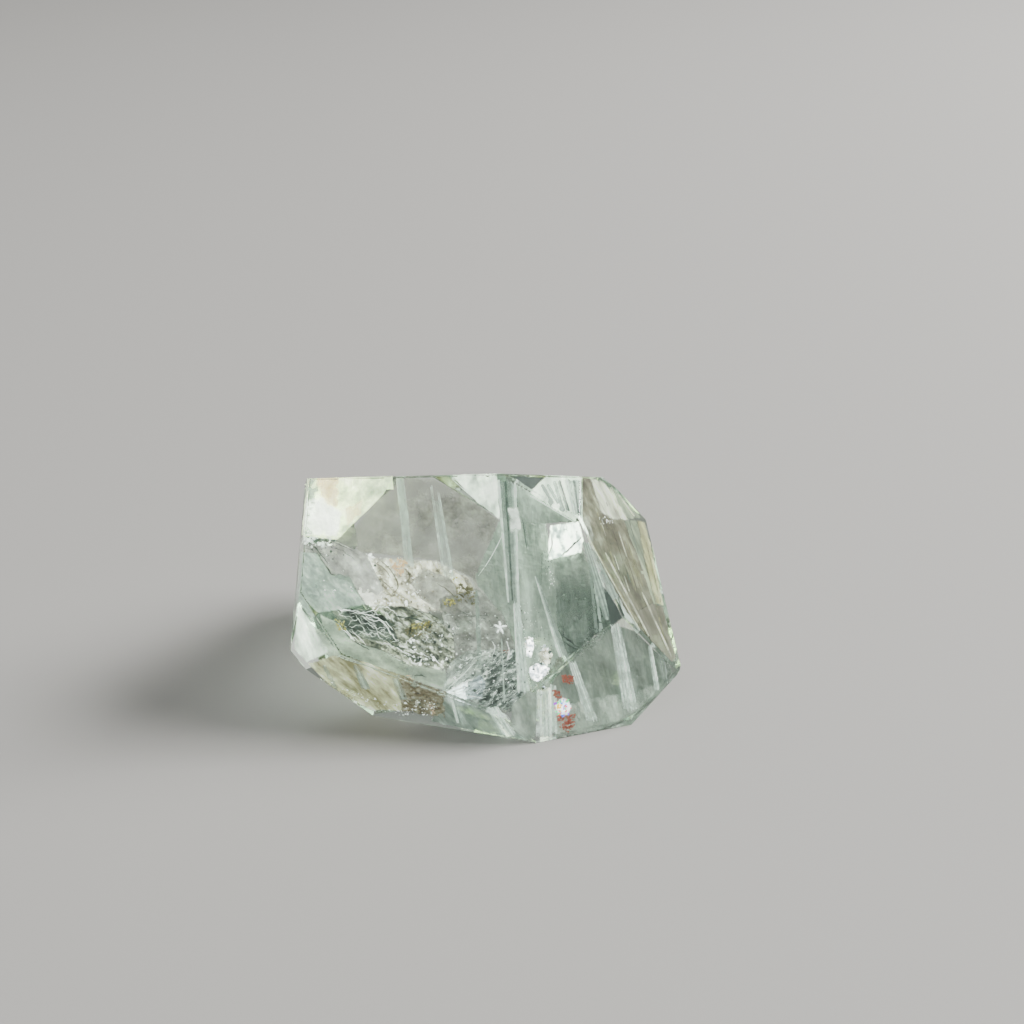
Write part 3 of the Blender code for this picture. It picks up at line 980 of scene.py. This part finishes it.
def make_veil():
    """The crumbly veil that crosses the stone behind the front facet."""
    lilac = film("lilac", ((0.26, 0.245, 0.24), (0.50, 0.48, 0.47), (0.84, 0.83, 0.81)), 900.0,
                 (0.75, 0.95), ((340, 545), (372, 596), 2.0), 0.8)
    blush = film("blush", ((0.46, 0.43, 0.40), (0.80, 0.77, 0.73), (1.0, 0.99, 0.95)), 1100.0,
                 (0.6, 0.95), glow=1.4)
    crust = film("crust",
                 ((0.10, 0.09, 0.065), (0.30, 0.275, 0.21), (0.56, 0.53, 0.45), (0.82, 0.79, 0.71),
                  (1.0, 1.0, 0.95)), 1300.0, (0.5, 1.0), ((368, 560), (404, 600), 2.2), 1.6,
                 spread=0.15)
    mauve = film("mauve", ((0.30, 0.275, 0.26), (0.54, 0.51, 0.485), (0.80, 0.78, 0.74)), 1100.0,
                 (0.6, 0.95), glow=0.5)
    leaf = film("leaf",
                ((0.012, 0.02, 0.019), (0.05, 0.066, 0.06), (0.16, 0.195, 0.175),
                 (0.52, 0.56, 0.46)), 1300.0, (0.95, 1.0), ((334, 610), (390, 636), 3.0), 0.15,
                spread=0.16, bias=0.01)
    folds = film("folds",
                 ((0.015, 0.02, 0.015), (0.055, 0.065, 0.052), (0.17, 0.18, 0.135),
                  (0.46, 0.49, 0.40), (1.0, 1.0, 0.94)), 1700.0, (0.9, 1.0),
                 ((396, 626), (440, 652), 2.5), 1.1, spread=0.17, bias=0.01)
    pale = film("pale_wash", ((0.22, 0.265, 0.23), (0.44, 0.50, 0.43), (0.74, 0.81, 0.72)), 900.0,
                (0.8, 1.0), ((345, 645), (430, 680), 2.0), 0.6)
    pinkish = film("pinkish",
                   ((0.10, 0.10, 0.095), (0.26, 0.255, 0.24), (0.42, 0.415, 0.395),
                    (0.80, 0.81, 0.77)), 1000.0, (0.7, 0.98), ((470, 615), (500, 640), 1.5), 0.5,
                   spread=0.18)
    hatch = film("hatch",
                 ((0.03, 0.036, 0.034), (0.09, 0.108, 0.10), (0.27, 0.305, 0.285),
                  (0.80, 0.84, 0.82)), 2700.0, (0.85, 1.0), ((452, 700), (508, 664), 3.0), 0.8,
                 spread=0.16, bias=0.01)
    beige = inclusion("beige_grain", ((0.30, 0.25, 0.18), (0.74, 0.68, 0.58)), glow=0.4)
    bark = inclusion("bark", ((0.10, 0.085, 0.05), (0.30, 0.26, 0.17)))

    make_patches(
        ("lilac_wash",
         [(300, 543), (337, 541), (366, 553), (384, 590), (366, 605), (350, 582), (331, 574),
          (317, 553), (302, 553)], (4.4, 6.0), lilac, 131, 1.2, 0.3, 2.5),
        ("pink_wash", [(350, 580), (372, 572), (388, 598), (366, 606)], (5.6, 5.8), blush, 127,
         1.2),
    )
    make_strokes("lilac_lines", (
        (((302, 541), (312, 546), (320, 553), (328, 564)), 4.2, 0.10),
        (((308, 539), (322, 543), (340, 550), (356, 560)), 4.4, 0.07),
        (((304, 548), (314, 552), (322, 562), (334, 575)), 4.2, 0.06),
        (((316, 540), (330, 541), (344, 547), (362, 556)), 4.4, 0.05),
    ), DARK_GRIT_AND_SHADE, 128, sway=3.0)
    scatter("lilac_specks", [(302, 541), (334, 541), (346, 556), (330, 560), (310, 552)],
            (4.2, 4.4), DARK_GRIT_AND_SHADE, 60, (0.05, 0.32), 129, spread=0.1, heaps=0.8)
    crust_line = [(362, 555), (400, 558), (437, 560), (470, 577), (478, 590), (474, 612),
                  (436, 614), (372, 612), (362, 594)]
    make_patches(
        ("crust", crust_line, (8.6, 7.2), crust, 132, 1.2, 0.5, 9.0),
        ("mauve", [(422, 566), (452, 578), (462, 600), (440, 612), (420, 600), (410, 584)],
         (7.6, 7.0), mauve, 133),
        ("pinkish",
         [(438, 598), (478, 588), (504, 612), (514, 640), (522, 668), (440, 672), (446, 640)],
         (6.6, 5.0), pinkish, 134, 1.5, 0.3, 4.0),
        ("pale_wash",
         [(320, 614), (336, 622), (350, 640), (400, 648), (442, 660), (452, 692), (400, 679),
          (345, 661), (326, 650)], (6.2, 4.8), pale, 135, 1.5, 0.1, 2.5),
    )
    grit_line = [(440, 602), (502, 614), (514, 662), (446, 666)]
    leaf_line = [(329, 607), (350, 608), (372, 610), (390, 618), (402, 642), (372, 643),
                 (356, 638), (340, 624)]
    make_patch("leaf", leaf_line, (5.6, 4.8), leaf, 136, cell=1.2, crumple=0.15, fade=2.5)
    fold_line = [(374, 605), (412, 606), (436, 616), (454, 636), (456, 664), (438, 670),
                 (410, 666), (384, 652), (352, 642), (345, 630), (372, 641), (398, 640),
                 (388, 620)]
    make_patch("folds", fold_line, (5.2, 4.2), folds, 137, cell=1.2, crumple=0.4, fade=3.0)
    haze = film("hatch_haze",
                ((0.13, 0.155, 0.14), (0.32, 0.37, 0.335), (0.62, 0.68, 0.63), (1.0, 1.0, 0.96)),
                1500.0, (0.4, 0.9), ((452, 696), (486, 662), 2.0), 0.6, spread=0.16)
    make_patches(
        ("hatch_haze",
         [(442, 692), (448, 664), (466, 650), (500, 648), (488, 672), (478, 704), (458, 700)],
         (4.4, 2.4), haze, 191, 1.2, 0.4, 4.0),
        ("hatch",
         [(474, 694), (480, 668), (490, 652), (521, 648), (527, 690), (512, 712), (490, 709),
          (478, 704)], (4.4, 2.0), hatch, 138, 1.2, 0.4, 4.0),
    )

    scatter("crust_grain", crust_line, (8.2, 7.0), beige, 160, (0.06, 0.28), 141, kind="crumb",
            heaps=0.9)
    scatter_rows(
        ("crust_glints", crust_line, (8.0, 6.8), GLINT, 90, (0.05, 0.34), 142, 0.3, 1.0),
        ("crust_pits", crust_line, (8.0, 6.8), bark, 150, (0.05, 0.28), 143, 0.3, 1.0),
        ("crumb_chain", [(358, 552), (372, 555), (379, 584), (370, 592)], (6.2, 6.2), GLINT, 40,
         (0.12, 0.60), 144, 0.1),
        ("crumb_chain_pits", [(362, 554), (378, 560), (381, 586), (372, 590)], (6.0, 6.0), DARK_GRIT_AND_SHADE,
         36, (0.08, 0.44), 145, 0.1),
        ("speck_line", [(358, 598), (420, 590), (424, 606), (366, 609)], (6.2, 6.0), GLINT, 90,
         (0.05, 0.40), 146, 0.1, 0.9),
        ("lone_specks", [(318, 540), (360, 560), (350, 604), (322, 590)], (2.0, 2.4), GLINT, 12,
         (0.06, 0.32), 147, 0.1),
        ("fold_crumbs", [(428, 622), (458, 626), (460, 650), (434, 652)], (4.2, 3.8), DARK_GRIT_AND_SHADE, 60,
         (0.10, 0.50), 148, 0.3, 0.5),
        ("fold_glints", [(396, 640), (456, 628), (458, 668), (408, 666)], (4.0, 3.6), GLINT, 90,
         (0.05, 0.38), 149, 0.3, 0.7),
        ("pinkish_grit", grit_line, (5.4, 4.2), DARK_GRIT_AND_SHADE, 70, (0.04, 0.22), 150, 0.3, 0.9),
        ("pinkish_glints", grit_line, (5.4, 4.2), WHITE, 50, (0.04, 0.26), 151, 0.3, 0.9),
    )
    hatch_line = [(450, 690), (456, 668), (472, 652), (518, 648), (523, 688), (508, 703),
                  (490, 703)]
    scatter_rows(
        ("hatch_glints", hatch_line, (3.8, 1.8), GLINT, 90, (0.05, 0.24), 152, 0.3, 0.5),
        ("hatch_pits", hatch_line, (3.8, 1.8), DARK_GRIT_AND_SHADE, 150, (0.06, 0.34), 153, 0.3, 0.5),
    )

    thread = inclusion("thread", ((0.40, 0.46, 0.42), (0.96, 1.0, 0.96)), 3000.0, (0.3, 0.95),
                       glow=0.9)
    chance = random.Random(155)
    light_threads, dark_threads = [], []
    for index in range(HATCH_THREADS):
        x, y = chance.uniform(448, 522), chance.uniform(650, 702)
        run = chance.uniform(1.5, 7)
        rise = run * chance.uniform(0.2, 1.1)
        ends = ((x - run / 2, y + rise / 2), (x + run / 2, y - rise / 2))
        if not all(within(hatch_line, *end) for end in ends):
            continue
        middle = (x + chance.uniform(-1, 1), y + chance.uniform(-1.5, 1.5))
        kept = light_threads if index % 2 else dark_threads
        kept.append(((ends[0], middle, ends[1]), 4.0 - 2.2 * (y - 650) / 50,
                     chance.uniform(0.02, 0.06)))
    make_strokes("hatch_light", light_threads, thread, 156)
    make_strokes("hatch_dark", dark_threads, DARK_GRIT_AND_SHADE, 157)
    curls_light, curls_dark = [], []
    for index in range(CURLED_THREADS):
        x, y = chance.uniform(376, 500), chance.uniform(606, 664)
        run = chance.uniform(1.5, 8)
        rise = run * chance.uniform(-0.4, 0.8)
        ends = ((x - run / 2, y - rise / 2), (x + run / 2, y + rise / 2))
        stray = x > 440 and y > 604 + (x - 440) * 0.2 and index % 3 == 0
        if not within(fold_line, x, y) and not stray:
            continue
        middle = (x + chance.uniform(-1, 1), y + chance.uniform(-3, 3))
        kept = curls_light if index % 2 else curls_dark
        kept.append(((ends[0], middle, ends[1]), 4.6 - (y - 606) / 60,
                     chance.uniform(0.02, 0.055)))
    make_strokes("curls_light", curls_light, thread, 158)
    make_strokes("curls_dark", curls_dark, DARK_GRIT_AND_SHADE, 159)
    leaf_light, leaf_dark = [], []
    for index in range(LEAF_THREADS):
        x, y = chance.uniform(334, 402), chance.uniform(608, 646)
        run, fall = chance.uniform(3, 16), chance.uniform(-0.4, 1.0)
        points = [
            (x + run * share, y + run * fall * share + chance.uniform(-2, 2))
            for share in (0, 0.33, 0.66, 1)
        ]
        if all(within(leaf_line, *point) for point in points):
            kept = leaf_light if index % 4 else leaf_dark
            kept.append((points, 4.7, chance.uniform(0.012, 0.04)))
    make_strokes("leaf_light", leaf_light, WHITE, 166, sway=2.0)
    make_strokes("leaf_dark", leaf_dark, DARK_GRIT_AND_SHADE, 167, sway=2.0)
    make_strokes("veil_threads", (
        (((331, 608), (340, 609), (350, 611)), 4.7, 0.10),
        (((348, 611), (360, 613), (374, 617), (384, 623), (391, 633), (396, 640), (402, 645)), 4.7,
         0.055),
        (((350, 610), (366, 612), (376, 610), (384, 606), (392, 611), (400, 619)), 4.6, 0.045),
        (((364, 615), (372, 620), (386, 622), (394, 631)), 4.6, 0.035),
        (((345, 628), (351, 636), (357, 640)), 4.5, 0.05),
        (((384, 611), (392, 620), (402, 624)), 4.8, 0.045),
        (((405, 644), (413, 637), (420, 632), (427, 627)), 4.2, 0.07),
        (((376, 641), (390, 645), (404, 647), (418, 653), (430, 658)), 4.2, 0.05),
        (((386, 642), (400, 650), (412, 655)), 4.2, 0.04),
        (((408, 655), (412, 662), (418, 664), (422, 660)), 4.0, 0.07),
        (((430, 654), (436, 660), (440, 664)), 4.0, 0.07),
        (((352, 632), (360, 638), (366, 646)), 4.4, 0.04),
        (((338, 624), (346, 632), (354, 640), (362, 645)), 4.4, 0.04),
        (((492, 641), (495, 648), (492, 656)), 4.0, 0.05),
        (((506, 640), (509, 650), (507, 662)), 3.6, 0.05),
    ), GLINT, 160, sway=3.0)
    make_strokes("star", (
        (((500, 628), (500, 624), (499, 621)), 4.4, 0.15),
        (((500, 628), (503, 626), (507, 626)), 4.4, 0.15),
        (((500, 628), (502, 631), (503, 634)), 4.4, 0.15),
        (((500, 628), (498, 631), (497, 633)), 4.4, 0.15),
        (((500, 628), (497, 626), (494, 625)), 4.4, 0.15),
    ), GLINT, 165, sway=0.0)
    # Painted reflection: glowing white-blue films, white threads and glints where a fracture in
    # the veil mirrors the light.
    fan = film("wedge_fan", ((0.14, 0.17, 0.18), (0.60, 0.66, 0.68), (1.0, 1.0, 1.0)), 2200.0,
               (0.6, 1.0), ((448, 692), (480, 680), 5.0), 4.5, spread=0.14)
    make_patch("wedge_fan",
               [(446, 692), (458, 685), (468, 681), (465, 691), (468, 701), (457, 698)],
               (2.3, 2.2), fan, 168, cell=0.8, crumple=0.1, fade=2.5)
    tail = film("wedge_tail", ((0.10, 0.13, 0.14), (0.34, 0.40, 0.42), (0.86, 0.94, 0.98)), 2400.0,
                (0.4, 0.9), ((460, 690), (484, 682), 3.0), 1.3, spread=0.15)
    make_patch("wedge_tail", [(461, 686), (480, 674), (487, 682), (482, 699), (466, 700)],
               (2.4, 2.2), tail, 190, cell=0.8, crumple=0.1, fade=3.0)
    make_strokes("veil_wedge", (
        (((447, 692), (456, 687), (464, 682)), 2.2, 0.09),
        (((449, 693), (457, 690), (464, 688)), 2.2, 0.13),
        (((450, 694), (456, 694), (462, 695)), 2.0, 0.12),
        (((452, 693), (458, 692), (466, 691)), 2.1, 0.10),
        (((460, 686), (466, 682), (473, 679)), 2.2, 0.08),
        (((446, 690), (456, 681), (466, 672), (474, 662)), 2.6, 0.04),
        (((452, 690), (464, 682), (480, 676), (494, 668)), 2.4, 0.04),
        (((454, 694), (470, 696), (486, 698)), 2.0, 0.04),
    ), WHITE, 161)
    scatter("wedge_lights", [(446, 691), (458, 684), (468, 682), (466, 694), (452, 696)],
            (2.2, 2.1), GLINT, 34, (0.08, 0.42), 164)
    make_strokes("veil_creases", (
        (((390, 612), (400, 617), (412, 618), (424, 622), (433, 626)), 4.6, 0.16),
        (((384, 616), (392, 625), (400, 630)), 4.5, 0.12),
        (((384, 638), (396, 646), (408, 650)), 4.1, 0.12),
        (((352, 640), (362, 646), (370, 650)), 4.2, 0.10),
        (((400, 652), (412, 658), (424, 661), (432, 660)), 3.9, 0.12),
        (((414, 676), (420, 675), (427, 677)), 2.6, 0.10),
        (((461, 616), (474, 616), (490, 615)), 5.0, 0.06),
    ), DARK_GRIT_AND_SHADE, 162)
    make_strokes("crust_lines", (
        (((366, 566), (374, 576), (384, 582), (392, 590)), 6.8, 0.10),
        (((372, 562), (384, 568), (392, 580)), 6.8, 0.08),
        (((380, 560), (392, 572), (398, 586), (392, 594)), 6.8, 0.10),
        (((370, 580), (380, 590), (392, 596), (400, 594)), 6.6, 0.08),
        (((404, 568), (410, 576), (406, 584)), 6.8, 0.14),
        (((438, 584), (448, 590), (456, 598)), 6.6, 0.08),
        (((458, 584), (466, 590), (474, 598), (470, 606)), 6.4, 0.12),
        (((456, 592), (464, 598), (468, 606)), 6.4, 0.12),
        (((330, 545), (345, 555), (360, 560)), 5.6, 0.05),
    ), bark, 163)


def make_stains():
    """Olive, orange and rust stains, and the small rainbow crack."""
    olive = inclusion("stain_olive", ((0.20, 0.17, 0.04), (0.55, 0.48, 0.12), (0.74, 0.68, 0.30)),
                      3000.0, glow=0.4)
    orange = inclusion("stain_orange", ((0.66, 0.38, 0.20), (0.92, 0.70, 0.48)), 2500.0, glow=0.7)
    rust = inclusion("stain_rust", ((0.30, 0.05, 0.03), (0.56, 0.16, 0.10)), 3000.0, glow=0.22)
    khaki = inclusion("khaki_grain", ((0.14, 0.125, 0.06), (0.38, 0.35, 0.20)), 2000.0, glow=0.15)
    scatter_rows(
        ("khaki_middle", [(402, 634), (410, 623), (434, 621), (431, 632), (414, 640)], (4.1, 4.0),
         khaki, 130, (0.05, 0.28), 171, 0.1, 0.9),
        ("olive_left", [(333, 619), (344, 621), (346, 630), (338, 630)], (4.2, 4.1), olive, 80,
         (0.05, 0.24), 172, 0.1),
        ("olive_middle", [(408, 625), (432, 621), (433, 627), (412, 630)], (4.0, 3.9), olive, 70,
         (0.05, 0.24), 173, 0.1, 0.6),
        ("olive_right", [(442, 600), (452, 597), (456, 603), (446, 608)], (6.0, 5.8), olive, 60,
         (0.05, 0.24), 174, 0.1),
        ("olive_top", [(452, 577), (462, 577), (462, 582), (454, 582)], (6.6, 6.4), olive, 26,
         (0.05, 0.22), 175, 0.1),
        ("khaki_grains", [(456, 582), (478, 588), (476, 606), (454, 602)], (6.4, 6.0), khaki, 90,
         (0.06, 0.32), 176, 0.1, 0.8),
        ("orange_spot", [(390, 560), (402, 557), (407, 562), (400, 580), (396, 574)], (6.8, 6.6),
         orange, 90, (0.06, 0.34), 177, 0.1),
        ("orange_streak", [(426, 700), (430, 700), (438, 716), (433, 716)], (0.5, 0.5), orange, 30,
         (0.05, 0.18), 178, 0.05),
        ("orange_fleck", [(406, 674), (412, 676), (414, 682), (407, 681)], (2.4, 2.4), orange, 24,
         (0.05, 0.18), 179, 0.05),
        ("rust_upper", [(562, 675), (573, 676), (573, 684), (563, 682)], (0.9, 0.9), rust, 130,
         (0.06, 0.30), 181, 0.08),
        ("rust_middle", [(552, 690), (558, 690), (566, 700), (558, 701)], (1.0, 1.0), rust, 70,
         (0.06, 0.30), 182, 0.08),
        ("rust_lower", [(556, 716), (575, 714), (575, 725), (568, 733), (560, 727)], (0.7, 0.6),
         rust, 190, (0.06, 0.34), 183, 0.08),
        ("rust_lone", [(503, 650), (509, 649), (509, 655), (504, 655)], (3.4, 3.4), rust, 12,
         (0.05, 0.14), 184, 0.05),
        kind="crumb",
    )
    circle = [
        (563 + 8.5 * cos(radians(turn)), 707 + 9.5 * sin(radians(turn)))
        for turn in range(0, 360, 30)
    ]
    base = film("rainbow_base", ((0.55, 0.62, 0.66), (1.0, 1.0, 1.0)), 2500.0, (0.5, 1.0),
                glow=2.4)
    make_patch("rainbow_crack", circle, (0.7, 0.7), base, 185, cell=1.0)
    for index, (name, colour) in enumerate(RAINBOW.items()):
        spark = inclusion(f"rainbow_{name}", (colour, colour), cover=(0.7, 1.0), glow=1.0)
        scatter(f"rainbow_{name}", circle, (0.5, 0.5), spark, 9, (0.22, 0.62), 197 + index,
                spread=0.04)
    scatter("rainbow_glint", [(558, 703), (567, 702), (569, 710), (560, 712)], (0.5, 0.5), GLINT,
            24, (0.06, 0.40), 186, spread=0.03)


stone.material_slots[0].material = quartz_material()
make_floor()
make_camera()
make_world()
for name, values in LIGHTS.items():
    soft_light(name, *values)
make_growth_tubes()
make_right_bevel()
make_left_end()
make_back()
make_veil()
make_stains()
bpy.context.scene.cycles.transmission_bounces = SEE_THROUGH_BOUNCES
bpy.context.scene.cycles.glossy_bounces = SEE_THROUGH_BOUNCES
bpy.context.scene.cycles.transparent_max_bounces = ALL_BOUNCES
bpy.context.scene.cycles.max_bounces = ALL_BOUNCES
